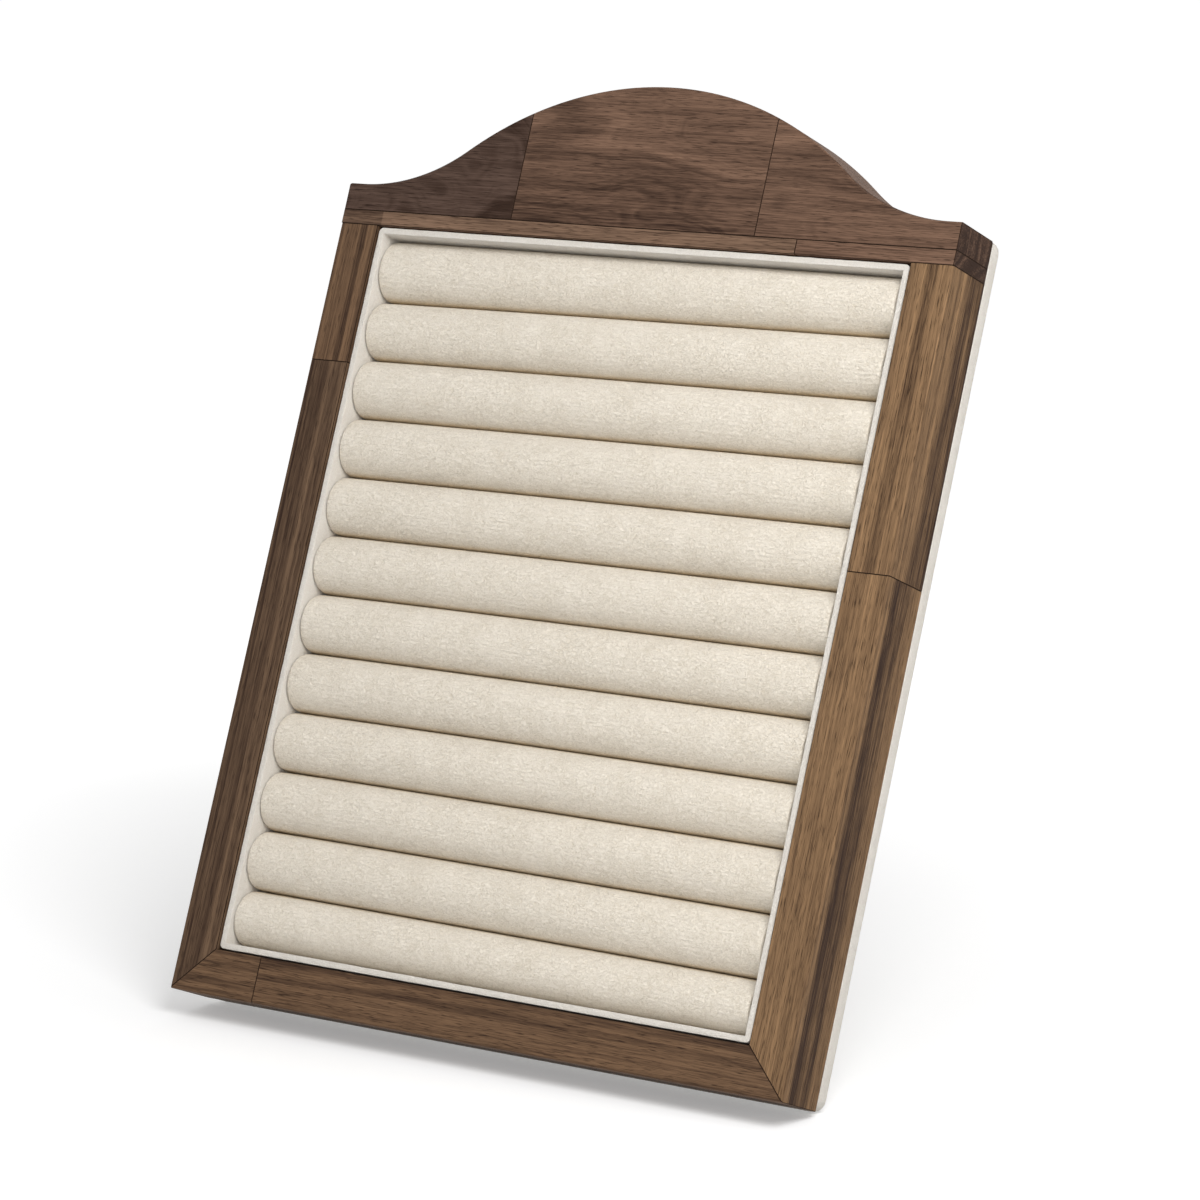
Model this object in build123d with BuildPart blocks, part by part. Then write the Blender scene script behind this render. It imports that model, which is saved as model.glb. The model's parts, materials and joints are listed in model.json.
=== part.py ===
from build123d import *
from math import cos, radians, sin, sqrt
import os

os.makedirs("parts", exist_ok=True)

# A tabletop ring display board: an arched walnut frame glued up from short staves, a fabric-covered tray
# with twelve ring rolls, a fabric-covered back panel and an easel strut on a riveted stop hinge.
# Row frame: X to the right, Y to the back, Z up, origin on the table under the middle of the box.
# The board leans back and has axes of its own: across (X), up the board and back through its depth.

# Stance
board_lean = 21.3
strut_opening = 40.0

# Walnut frame
frame_width = 230.0
frame_depth = 20.8
stile_height = 255.6
stock_width = 14.8
arris_radius = 0.8
crown_bevel = 0.6
rail_joint = 33.0
left_stile_joint = 209.2
right_stile_joint = 159.2

# Crown
crown_shoulder = 13.7
crown_rise = 37.7
shoulder_flat = 5.0
crest_radius = 116.0
strip_height = 4.8
strip_joint = 173.8
crown_left_joint = 66.4
crown_right_joint = 158.2

# Frame joinery
dowel_diameter = 6.0
dowel_in_stile = 14.0
dowel_in_crown = 10.5
nail_leg = 4.2
nail_sheet = 0.8
nail_length = 11.0
nail_spacing = 8.0
nail_half_angle = 32.0

# Tray insert
fabric = 0.4
tray_gap = 0.5
tray_setback = 0.8
tray_base_thickness = 2.0
card_thickness = 1.2
tray_corner_radius = 2.5
rim_bevel = 0.6

# Ring rolls
roll_count = 12
roll_setback = 1.3
roll_fit = 0.1
roll_left_gap = 0.3
roll_right_gap = 0.9

# Back panel
panel_core_thickness = 4.6
panel_above_shoulder = 1.0
panel_corner_radius = 4.0
panel_edge_bevel = 0.6
panel_turn_in = 18.0

# Hinge
hinge_height = 170.0
leaf_sheet = 0.8
leaf_width = 40.0
leaf_height = 23.0
leaf_corner_radius = 3.0
pin_radius = 1.0
pin_clearance = 0.05
pin_head_radius = 1.6
pin_head_length = 0.6
pin_end_play = 0.1
middle_knuckle_width = 14.0
knuckle_side_gap = 0.3
knuckle_back_gap = 0.3
stop_gap = 0.05
stop_tongue_width = 10.0
stop_tongue_length = 10.0
rivet_radius = 1.2
rivet_head_radius = 2.2
rivet_head_height = 0.8
rivet_depth_in_panel = 3.4
rivet_across = 25.0
rivet_from_pin = 13.0

# Strut
strut_core_thickness = 4.0
strut_top_width = 46.0
strut_foot_width = 72.0
strut_corner_radius = 5.0
strut_edge_bevel = 0.6
strut_top_gap = 0.8

# Sizes that follow from the ones above
panel_thickness = panel_core_thickness + 2 * fabric
panel_back = frame_depth + panel_thickness
shoulder_top = stile_height + crown_shoulder
crown_peak = shoulder_top + crown_rise
panel_height = shoulder_top + panel_above_shoulder
knuckle_radius = pin_radius + pin_clearance + leaf_sheet
pin_depth = panel_back + knuckle_back_gap + knuckle_radius
strut_lean = board_lean - strut_opening
strut_front = -knuckle_radius + leaf_sheet
strut_thickness = strut_core_thickness + 2 * fabric
strut_back = strut_front + strut_thickness


def depth_direction(lean):
    """The way from the front face to the back face of a board that leans back by this angle."""
    return Vector(0, cos(radians(lean)), -sin(radians(lean)))


def height_direction(lean):
    """The way up along the face of a board that leans back by this angle."""
    return Vector(0, sin(radians(lean)), cos(radians(lean)))


across = Vector(1, 0, 0)
board_in = depth_direction(board_lean)
board_up = height_direction(board_lean)
strut_in = depth_direction(strut_lean)
strut_up = height_direction(strut_lean)

# The panel's bevelled lower back edge and the strut's foot stand on the table, at Z = 0
corner_z = (panel_back - panel_edge_bevel) * -board_in.Z
pin_y = pin_depth * board_in.Y + hinge_height * board_up.Y
pin_z = corner_z + pin_depth * board_in.Z + hinge_height * board_up.Z
strut_length = (pin_z + strut_back * strut_in.Z) / strut_up.Z
foot_back_y = pin_y + strut_back * strut_in.Y - strut_length * strut_up.Y
front_y = arris_radius * (board_in.Y + board_up.Y - 1)
corner_y = -(front_y + foot_back_y) / 2
board_corner = Vector(-frame_width / 2, corner_y, corner_z)
pin_point = Vector(0, corner_y + pin_y, pin_z)

UP = Axis(board_corner, board_up)
BACK = Axis(board_corner, board_in)
STRUT_BACK = Axis(pin_point, strut_in)


def face_plane(depth):
    """Board plane seen from the front: x across from the left side, y up from the bottom."""
    return Plane(board_corner + board_in * depth, x_dir=across, z_dir=-board_in)


def section_plane(x):
    """Board plane across its width: x is depth from the front face, y is height."""
    return Plane(board_corner + across * x, x_dir=board_in, z_dir=across)


def level_plane(height):
    """Board plane square to its height: x across, y is depth from the front face."""
    return Plane(board_corner + board_up * height, x_dir=across, z_dir=board_up)


def strut_face_plane(depth):
    """Strut plane seen from the front: x from its middle, y up from the pin."""
    return Plane(pin_point + strut_in * depth, x_dir=across, z_dir=-strut_in)


def keep(piece, name):
    piece.label = name
    export_step(piece, f"parts/{name}.step")


# Joinery hidden in the frame


def dowel_profile():
    """The two dowels that hold the crown on the stiles, from their lower ends."""
    with BuildSketch(level_plane(stile_height - dowel_in_stile)) as profile:
        with Locations((frame_width / 2, frame_depth / 2)):
            with GridLocations(frame_width - stock_width, 1, 2, 1):
                Circle(dowel_diameter / 2)
    return profile.sketch


def mitre_nail_profile():
    """Two bent sheet nails in each mitre, seen from the front, with their legs spread inwards."""
    step = nail_spacing / 2 / sqrt(2)
    with BuildSketch(face_plane(frame_depth)) as profile:
        for corner_x, inward, turn in ((0, 1, 45), (frame_width, -1, 135)):
            for along in (stock_width / 2 - step, stock_width / 2 + step):
                apex = (corner_x + inward * (along - nail_leg / 3), along - nail_leg / 3)
                with Locations(apex):
                    Circle(nail_sheet / 2)
                for side in (-1, 1):
                    with Locations(Location(apex, turn + side * nail_half_angle)):
                        Rectangle(nail_leg, nail_sheet, align=(Align.MIN, Align.CENTER))
    return profile.sketch


dowel_length = dowel_in_stile + dowel_in_crown

with BuildPart() as crown_dowels:
    extrude(dowel_profile(), amount=dowel_length)
keep(crown_dowels.part, "crown_dowels")

with BuildPart() as mitre_v_nails:
    extrude(mitre_nail_profile(), amount=nail_length)
keep(mitre_v_nails.part, "mitre_v_nails")

# Stiles and bottom rail, each of two staves, mitred at the bottom corners

inner_right = frame_width - stock_width
staves = {
    "left_stile_lower": [
        (0, 0),
        (stock_width, stock_width),
        (stock_width, left_stile_joint),
        (0, left_stile_joint),
    ],
    "left_stile_upper": [
        (0, left_stile_joint),
        (stock_width, left_stile_joint),
        (stock_width, stile_height),
        (0, stile_height),
    ],
    "right_stile_lower": [
        (frame_width, 0),
        (frame_width, right_stile_joint),
        (inner_right, right_stile_joint),
        (inner_right, stock_width),
    ],
    "right_stile_upper": [
        (inner_right, right_stile_joint),
        (frame_width, right_stile_joint),
        (frame_width, stile_height),
        (inner_right, stile_height),
    ],
    "bottom_rail_left": [(0, 0), (rail_joint, 0), (rail_joint, stock_width), (stock_width, stock_width)],
    "bottom_rail_right": [
        (rail_joint, 0),
        (frame_width, 0),
        (inner_right, stock_width),
        (rail_joint, stock_width),
    ],
}

for name, outline in staves.items():
    with BuildPart() as stave:
        with BuildSketch(face_plane(0)):
            with BuildLine():
                Polyline(*outline, close=True)
            make_face()
        extrude(amount=-frame_depth)
        front_edges = stave.faces().sort_by(BACK)[0].edges()
        if name.startswith("bottom"):
            outer_arris = front_edges.sort_by(UP)[0]
        elif name.startswith("left"):
            outer_arris = front_edges.sort_by(Axis.X)[0]
        else:
            outer_arris = front_edges.sort_by(Axis.X)[-1]
        fillet(outer_arris, radius=arris_radius)
        if "stile_upper" in name:
            extrude(dowel_profile(), amount=dowel_length, mode=Mode.SUBTRACT)
        else:
            extrude(mitre_nail_profile(), amount=nail_length, mode=Mode.SUBTRACT)
    keep(stave.part, name)

# Crown: a thin lower strip of two staves under three sawn blocks, with flat shoulders, hollow flanks and a
# round crest. The hollow radius makes flank and crest tangent.

half_span = frame_width / 2 - shoulder_flat
hollow_radius = (half_span**2 + crown_rise**2) / (2 * crown_rise) - crest_radius
crest_centre_y = crown_peak - crest_radius
hollow_centre_y = shoulder_top + hollow_radius
tangent_share = hollow_radius / (hollow_radius + crest_radius)
tangent_x = half_span * (1 - tangent_share)
tangent_y = hollow_centre_y + (crest_centre_y - hollow_centre_y) * tangent_share
middle_x = frame_width / 2


def crown_profile(left, right, bottom, top):
    """The part of the crown's outline that lies between these limits."""
    with BuildSketch(face_plane(0)) as profile:
        with BuildLine():
            Polyline(
                (shoulder_flat, shoulder_top),
                (0, shoulder_top),
                (0, stile_height),
                (frame_width, stile_height),
                (frame_width, shoulder_top),
                (frame_width - shoulder_flat, shoulder_top),
            )
            RadiusArc(
                (shoulder_flat, shoulder_top),
                (middle_x - tangent_x, tangent_y),
                -hollow_radius,
            )
            RadiusArc(
                (frame_width - shoulder_flat, shoulder_top),
                (middle_x + tangent_x, tangent_y),
                hollow_radius,
            )
            RadiusArc(
                (middle_x - tangent_x, tangent_y),
                (middle_x + tangent_x, tangent_y),
                crest_radius,
            )
        make_face()
        with Locations((left, bottom)):
            Rectangle(right - left, top - bottom, align=(Align.MIN, Align.MIN), mode=Mode.INTERSECT)
    return profile.sketch


strip_top = stile_height + strip_height
crown_pieces = {
    "crown_strip_left": (0, strip_joint, stile_height, strip_top),
    "crown_strip_right": (strip_joint, frame_width, stile_height, strip_top),
    "crown_block_left": (0, crown_left_joint, strip_top, crown_peak),
    "crown_block_centre": (crown_left_joint, crown_right_joint, strip_top, crown_peak),
    "crown_block_right": (crown_right_joint, frame_width, strip_top, crown_peak),
}

for name, limits in crown_pieces.items():
    with BuildPart() as block:
        extrude(crown_profile(*limits), amount=-frame_depth)
        if "block" in name:
            for face in (block.faces().sort_by(BACK)[0], block.faces().sort_by(BACK)[-1]):
                top_edges = face.edges().filter_by(UP, reverse=True).sort_by(UP)[1:]
                chamfer(top_edges, length=crown_bevel)
        if name != "crown_block_centre":
            extrude(dowel_profile(), amount=dowel_length, mode=Mode.SUBTRACT)
    keep(block.part, name)

# Tray insert: a base board and four card walls, with one fabric skin over their edges

tray_left = stock_width + tray_gap
tray_bottom = stock_width + tray_gap
tray_width = frame_width - 2 * tray_left
tray_height = stile_height - tray_gap - tray_bottom
wall_thickness = card_thickness + 2 * fabric
tray_base_front = frame_depth - tray_base_thickness
inside_left = tray_left + wall_thickness
inside_bottom = tray_bottom + wall_thickness
inside_width = tray_width - 2 * wall_thickness
inside_height = tray_height - 2 * wall_thickness
tray_middle = (middle_x, tray_bottom + tray_height / 2)

with BuildPart() as tray_base:
    with BuildSketch(face_plane(tray_base_front)):
        with Locations(tray_middle):
            RectangleRounded(tray_width, tray_height, tray_corner_radius)
    extrude(amount=-tray_base_thickness)
keep(tray_base.part, "tray_base")

card_front = tray_setback + fabric
card_depth = tray_base_front - card_front
card_left = tray_left + fabric
card_bottom = tray_bottom + fabric
card_width = tray_width - 2 * fabric
card_height = tray_height - 2 * fabric
side_card_height = card_height - 2 * card_thickness
walls = {
    "tray_wall_bottom": (card_left, card_bottom, card_width, card_thickness),
    "tray_wall_top": (card_left, card_bottom + card_height - card_thickness, card_width, card_thickness),
    "tray_wall_left": (card_left, card_bottom + card_thickness, card_thickness, side_card_height),
    "tray_wall_right": (
        card_left + card_width - card_thickness,
        card_bottom + card_thickness,
        card_thickness,
        side_card_height,
    ),
}


def wall_profile(place):
    """One card wall, cut to the tray's rounded corners."""
    left, bottom, width, height = place
    with BuildSketch(face_plane(card_front)) as profile:
        with Locations((left, bottom)):
            Rectangle(width, height, align=(Align.MIN, Align.MIN))
        with Locations(tray_middle):
            RectangleRounded(
                card_width, card_height, tray_corner_radius - fabric, mode=Mode.INTERSECT
            )
    return profile.sketch


for name, place in walls.items():
    with BuildPart() as wall:
        extrude(wall_profile(place), amount=-card_depth)
    keep(wall.part, name)

with BuildPart() as tray_cover:
    with BuildSketch(face_plane(tray_setback)):
        with Locations(tray_middle):
            RectangleRounded(tray_width, tray_height, tray_corner_radius)
            Rectangle(inside_width, inside_height, mode=Mode.SUBTRACT)
    extrude(amount=-(tray_base_front - tray_setback))
    chamfer(tray_cover.faces().sort_by(BACK)[0].edges(), length=rim_bevel)
    for place in walls.values():
        extrude(wall_profile(place), amount=-card_depth, mode=Mode.SUBTRACT)
keep(tray_cover.part, "tray_cover")

# Twelve ring rolls: foam bars with a round crest under fabric, side by side on the base

roll_pitch = inside_height / roll_count
roll_width = roll_pitch - roll_fit
roll_left = inside_left + roll_left_gap
roll_length = inside_width - roll_left_gap - roll_right_gap


def roll_profile(height, inset):
    """A roll's section about its middle height: straight sides on the base and a half-round crest."""
    radius = roll_width / 2 - inset
    with BuildSketch(section_plane(roll_left + inset)) as profile:
        with BuildLine():
            crest = ThreePointArc(
                (roll_setback + inset + radius, height - radius),
                (roll_setback + inset, height),
                (roll_setback + inset + radius, height + radius),
            )
            Polyline(
                crest @ 1,
                (tray_base_front, height + radius),
                (tray_base_front, height - radius),
                crest @ 0,
            )
        make_face()
    return profile.sketch


for index in range(roll_count):
    roll_height = inside_bottom + (index + 0.5) * roll_pitch
    number = f"{roll_count - index:02d}"
    foam_length = roll_length - 2 * fabric
    with BuildPart() as roll_foam:
        extrude(roll_profile(roll_height, fabric), amount=foam_length)
    keep(roll_foam.part, f"roll_foam_{number}")
    with BuildPart() as roll_cover:
        extrude(roll_profile(roll_height, 0), amount=roll_length)
        extrude(roll_profile(roll_height, fabric), amount=foam_length, mode=Mode.SUBTRACT)
    keep(roll_cover.part, f"roll_cover_{number}")

# Back panel: a board wrapped in fabric that is turned in over the front edges


def panel_profile(depth, inset, corner_radius):
    with BuildSketch(face_plane(depth)) as profile:
        with Locations((middle_x, panel_height / 2)):
            RectangleRounded(frame_width - 2 * inset, panel_height - 2 * inset, corner_radius)
    return profile.sketch


def panel_rivet_profile(radius):
    with BuildSketch(face_plane(panel_back + leaf_sheet)) as profile:
        with Locations((middle_x, hinge_height + rivet_from_pin)):
            with GridLocations(rivet_across, 1, 2, 1):
                Circle(radius)
    return profile.sketch


panel_rivet_length = leaf_sheet + fabric + rivet_depth_in_panel

with BuildPart() as back_panel:
    extrude(
        panel_profile(frame_depth + fabric, fabric, panel_corner_radius - fabric),
        amount=-panel_core_thickness,
    )
back_panel_blank = back_panel.part

with BuildPart() as back_panel:
    add(back_panel_blank)
    extrude(panel_rivet_profile(rivet_radius), amount=panel_rivet_length, mode=Mode.SUBTRACT)
keep(back_panel.part, "back_panel")

with BuildPart() as back_cover:
    extrude(panel_profile(frame_depth, 0, panel_corner_radius), amount=-panel_thickness)
    cover_faces = back_cover.faces().sort_by(BACK)
    chamfer(cover_faces[0].edges() + cover_faces[-1].edges(), length=panel_edge_bevel)
    add(back_panel_blank, mode=Mode.SUBTRACT)
    extrude(
        panel_profile(frame_depth, panel_turn_in, panel_corner_radius),
        amount=-fabric,
        mode=Mode.SUBTRACT,
    )
    extrude(panel_rivet_profile(rivet_radius), amount=panel_rivet_length, mode=Mode.SUBTRACT)
keep(back_cover.part, "back_cover")

# Stop hinge: two stamped leaves rolled round one pin. A tongue on the moving leaf stands up behind the fixed
# leaf and meets it when the strut is fully open.

pin_bore_radius = pin_radius + pin_clearance
side_knuckle_start = middle_knuckle_width / 2 + knuckle_side_gap
knuckle_clear_height = knuckle_radius + knuckle_back_gap


def pin_circle(x, radius):
    with BuildSketch(section_plane(middle_x + x)) as profile:
        with Locations((pin_depth, hinge_height)):
            Circle(radius)
    return profile.sketch


with BuildPart() as hinge_fixed_leaf:
    with BuildSketch(face_plane(panel_back)) as plate:
        with Locations((middle_x, hinge_height)):
            Rectangle(leaf_width, leaf_height, align=(Align.CENTER, Align.MIN))
        fillet(plate.vertices().group_by(Axis.Y)[-1], radius=leaf_corner_radius)
        with Locations((middle_x, hinge_height)):
            Rectangle(
                2 * side_knuckle_start,
                knuckle_clear_height,
                align=(Align.CENTER, Align.MIN),
                mode=Mode.SUBTRACT,
            )
    extrude(amount=-leaf_sheet)
    knuckle_length = leaf_width / 2 - side_knuckle_start
    extrude(pin_circle(-leaf_width / 2, knuckle_radius), amount=knuckle_length)
    extrude(pin_circle(side_knuckle_start, knuckle_radius), amount=knuckle_length)
    extrude(pin_circle(-leaf_width / 2, pin_bore_radius), amount=leaf_width, mode=Mode.SUBTRACT)
    extrude(panel_rivet_profile(rivet_radius), amount=panel_rivet_length, mode=Mode.SUBTRACT)
keep(hinge_fixed_leaf.part, "hinge_fixed_leaf")

with BuildPart() as hinge_pin:
    pin_end = leaf_width / 2 + pin_end_play
    extrude(pin_circle(-pin_end, pin_radius), amount=2 * pin_end)
    extrude(pin_circle(-pin_end, pin_head_radius), amount=-pin_head_length)
    extrude(pin_circle(pin_end, pin_head_radius), amount=pin_head_length)
keep(hinge_pin.part, "hinge_pin")


def strut_rivet_profile(depth, radius):
    with BuildSketch(strut_face_plane(depth)) as profile:
        with Locations((0, -rivet_from_pin)):
            with GridLocations(rivet_across, 1, 2, 1):
                Circle(radius)
    return profile.sketch


# Each strut rivet is filed flush with the leaf, where the strut closes on the panel, and has a head behind
with BuildPart() as strut_rivets:
    extrude(
        strut_rivet_profile(-knuckle_radius, rivet_radius),
        amount=-(leaf_sheet + strut_thickness),
    )
    extrude(strut_rivet_profile(strut_back, rivet_head_radius), amount=-rivet_head_height)
keep(strut_rivets.part, "strut_rivets")

with BuildPart() as panel_rivets:
    extrude(panel_rivet_profile(rivet_radius), amount=panel_rivet_length)
    extrude(panel_rivet_profile(rivet_head_radius), amount=-rivet_head_height)
keep(panel_rivets.part, "panel_rivets")

with BuildPart() as hinge_moving_leaf:
    with BuildSketch(strut_face_plane(-knuckle_radius)) as plate:
        with Locations((0, -knuckle_clear_height)):
            Rectangle(
                leaf_width, leaf_height - knuckle_clear_height, align=(Align.CENTER, Align.MAX)
            )
        fillet(plate.vertices().group_by(Axis.Y)[0], radius=leaf_corner_radius)
        Rectangle(middle_knuckle_width, knuckle_clear_height, align=(Align.CENTER, Align.MAX))
    extrude(amount=-leaf_sheet)
    extrude(pin_circle(-middle_knuckle_width / 2, knuckle_radius), amount=middle_knuckle_width)
    with BuildSketch(face_plane(panel_back + leaf_sheet + stop_gap)):
        with Locations((middle_x, hinge_height)):
            Rectangle(stop_tongue_width, stop_tongue_length, align=(Align.CENTER, Align.MIN))
    extrude(amount=-leaf_sheet)
    extrude(
        pin_circle(-middle_knuckle_width / 2, pin_bore_radius),
        amount=middle_knuckle_width,
        mode=Mode.SUBTRACT,
    )
    add(strut_rivets.part, mode=Mode.SUBTRACT)
keep(hinge_moving_leaf.part, "hinge_moving_leaf")

# Strut: a tapered board wrapped in fabric, hung on the moving leaf, with its foot sawn level


def strut_profile(depth, inset):
    top = -(knuckle_radius + strut_top_gap)
    with BuildSketch(strut_face_plane(depth)) as profile:
        with BuildLine():
            Polyline(
                (-strut_top_width / 2, top),
                (strut_top_width / 2, top),
                (strut_foot_width / 2, -strut_length),
                (strut_foot_width / 2, -strut_length - strut_thickness),
                (-strut_foot_width / 2, -strut_length - strut_thickness),
                (-strut_foot_width / 2, -strut_length),
                close=True,
            )
        make_face()
        fillet(profile.vertices().group_by(Axis.Y)[-1], radius=strut_corner_radius)
        if inset:
            offset(amount=-inset, kind=Kind.INTERSECTION)
    return profile.sketch


with BuildPart() as strut_board:
    extrude(strut_profile(strut_front + fabric, fabric), amount=-strut_core_thickness)
    split(bisect_by=Plane.XY.offset(fabric), keep=Keep.TOP)
strut_board_blank = strut_board.part

with BuildPart() as strut_board:
    add(strut_board_blank)
    add(strut_rivets.part, mode=Mode.SUBTRACT)
keep(strut_board.part, "strut_board")

with BuildPart() as strut_cover:
    extrude(strut_profile(strut_front, 0), amount=-strut_thickness)
    cover_faces = strut_cover.faces().sort_by(STRUT_BACK)
    for face in (cover_faces[0], cover_faces[-1]):
        chamfer(face.edges().sort_by(Axis.Z)[1:], length=strut_edge_bevel)
    split(bisect_by=Plane.XY, keep=Keep.TOP)
    add(strut_board_blank, mode=Mode.SUBTRACT)
    add(strut_rivets.part, mode=Mode.SUBTRACT)
keep(strut_cover.part, "strut_cover")
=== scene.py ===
import json
from math import radians

import bmesh
import bpy
from mathutils import Euler, Matrix, Quaternion, Vector, noise

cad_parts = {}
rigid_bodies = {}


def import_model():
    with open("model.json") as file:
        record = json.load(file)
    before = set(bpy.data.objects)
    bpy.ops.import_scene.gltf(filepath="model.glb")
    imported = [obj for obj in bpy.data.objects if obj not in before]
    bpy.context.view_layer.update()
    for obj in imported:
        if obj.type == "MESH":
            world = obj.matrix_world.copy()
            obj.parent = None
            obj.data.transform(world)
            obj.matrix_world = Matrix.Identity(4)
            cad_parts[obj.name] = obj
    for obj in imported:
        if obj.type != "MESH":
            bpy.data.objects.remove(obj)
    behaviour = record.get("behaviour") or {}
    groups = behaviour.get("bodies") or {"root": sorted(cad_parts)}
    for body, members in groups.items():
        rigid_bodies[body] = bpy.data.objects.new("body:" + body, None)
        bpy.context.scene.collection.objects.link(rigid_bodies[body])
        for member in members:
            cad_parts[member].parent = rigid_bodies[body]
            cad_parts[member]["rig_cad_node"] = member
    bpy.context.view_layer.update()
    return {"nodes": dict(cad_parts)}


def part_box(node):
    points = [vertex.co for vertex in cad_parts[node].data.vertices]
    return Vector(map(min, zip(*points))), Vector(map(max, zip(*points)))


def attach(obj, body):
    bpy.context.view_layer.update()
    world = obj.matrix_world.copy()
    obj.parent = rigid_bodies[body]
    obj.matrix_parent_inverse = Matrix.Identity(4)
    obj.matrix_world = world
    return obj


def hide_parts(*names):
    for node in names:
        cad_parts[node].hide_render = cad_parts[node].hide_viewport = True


bl_info = {
    "name": "Ring Display Board",
    "version": (1, 0, 0),
    "blender": (4, 5, 0),
    "location": "3D View > Sidebar > Ring Board",
    "description": "Dresses the ring display board: walnut, tray, ring rolls, back panel and strut",
    "category": "Object",
}

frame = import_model()
NODES = frame["nodes"]

MM = 0.001
TOUCH = 0.01 * MM
LONG_EDGE = 100 * MM
BOARD_LEAN = radians(21.3)
STRUT_LEAN = radians(-18.7)
ROLLS = [f"{number:02d}" for number in range(1, 13)]

# How finely the long soft pieces are cut
TRAY_CUTS_ACROSS = 80
TRAY_CUTS_UP = 96
ROLL_CUTS_ACROSS = 59
ROLL_CUTS_DEEP = 3
ROLL_CREST_SEGMENTS = 9
ROLL_END_RINGS = (1.5 * MM, 2.5 * MM)

# The cloth run that fills out the rolls
CLOTH_FRAMES = 20
CLOTH_MASS = 0.02
CLOTH_PRESSURE = 3.0
FULLNESS_SPREAD = 22 * MM

# How fine each cloth's nap is, how much of its weave shows, and how much painted shade and bounce
# light it gets deep between two rolls
TRAY_CLOTH = {"hair": 2.6, "weave": 0.1}
ROLL_CLOTH = {"hair": 1.4, "weave": 0.15, "painted_groove_shade": 1.0}
NAP_PATCHES = 0.09
MATT = 0.04
NO_DARK_END = 1000

# Each stave is sawn from its own plank. Lengths are in mm. pith is the middle of the tree's rings:
# a place across the board for a stile, or up the board for a rail or a crown piece, and a depth.
# ring is the rings' width, wander how far they stray, figure how much they change along the stave,
# and contrast how far light and dark rings differ. After tone come the radius, width and darkness
# of a dark band: grain figure in most staves, and painted shade on the outer side faces of the
# right stiles. Rails are measured leftwards from the board's left edge, and past dark_beyond they
# are darker.
STAVES = {
    "left_stile_lower": dict(
        pith=(-62, 34), ring=3.4, wander=9, figure=0.12, contrast=1.5, tone="dim",
        grain_and_shade_band=76, band=8, depth=0.22,
    ),
    "left_stile_upper": dict(
        pith=(-58, 30), ring=2.6, wander=7, figure=0.12, contrast=1.9, tone="brown",
        grain_and_shade_band=90, band=3, depth=0.1,
    ),
    # The right stiles' dark bands lie on their outer side faces, not their fronts: painted shade
    # that makes those faces darker
    "right_stile_lower": dict(
        pith=(260, 40), ring=5.0, wander=7, figure=0.12, contrast=1.0, tone="warm",
        grain_and_shade_band=43.5, band=5.5, depth=0.48,
    ),
    "right_stile_upper": dict(
        pith=(262, 44), ring=2.8, wander=8, figure=0.14, contrast=1.15, tone="warm",
        grain_and_shade_band=42, band=7, depth=0.4,
    ),
    "bottom_rail_left": dict(
        pith=(60, 44), ring=2.2, wander=6, figure=0.2, contrast=1.4, tone="brown",
        grain_and_shade_band=50, band=4, depth=0.2,
    ),
    "bottom_rail_right": dict(
        pith=(48, 52), ring=2.6, wander=8, figure=0.14, contrast=1.5, tone="brown",
        grain_and_shade_band=62, band=5, depth=0.35,
    ),
    "crown_strip_left": dict(
        pith=(320, 34), ring=3.4, wander=6, figure=0.16, contrast=1.0, tone="tan",
        grain_and_shade_band=50, band=3, depth=0.0, dark_beyond=-16.2,
    ),
    "crown_strip_right": dict(
        pith=(225, 40), ring=2.8, wander=7, figure=0.16, contrast=1.2, tone="red",
        grain_and_shade_band=44, band=5, depth=0.3,
    ),
    "crown_block_left": dict(
        pith=(276, 52), ring=4.5, wander=34, figure=0.7, contrast=1.8, tone="dusk",
        grain_and_shade_band=50, band=12, depth=0.4,
    ),
    "crown_block_centre": dict(
        pith=(292, -46), ring=4.5, wander=40, figure=0.42, contrast=1.15, tone="red",
        grain_and_shade_band=56, band=13, depth=0.27,
    ),
    "crown_block_right": dict(
        pith=(262, -60), ring=3.2, wander=18, figure=0.3, contrast=1.7, tone="red",
        grain_and_shade_band=62, band=3, depth=0.3,
    ),
}


def corners(points):
    """Lowest and highest corner of the box round these points."""
    low = Vector([min(point[axis] for point in points) for axis in range(3)])
    high = Vector([max(point[axis] for point in points) for axis in range(3)])
    return low, high


def board_matrix():
    """The board's own axes: across, back and up, from its front lower left corner."""
    upright = Matrix.Rotation(BOARD_LEAN, 4, "X")
    points = [upright @ vertex.co for vertex in NODES["left_stile_lower"].data.vertices]
    return upright.inverted() @ Matrix.Translation(corners(points)[0])


def strut_matrix():
    """The strut's own axes, from the middle of the hinge pin."""
    low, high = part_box("hinge_pin")
    return Matrix.Translation((low + high) / 2) @ Matrix.Rotation(-STRUT_LEAN, 4, "X")


BOARD = board_matrix()
STRUT = strut_matrix()


def box_on(place, node):
    """Lowest and highest corner of a CAD node along the axes of the board or the strut."""
    inverse = place.inverted()
    return corners([inverse @ vertex.co for vertex in NODES[node].data.vertices])


def length(name, description, default):
    return bpy.props.FloatProperty(
        name=name, description=description, default=default, min=0, unit="LENGTH"
    )


def colour(name, description, default):
    return bpy.props.FloatVectorProperty(
        name=name, description=description, default=default, subtype="COLOR", size=3
    )


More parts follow.
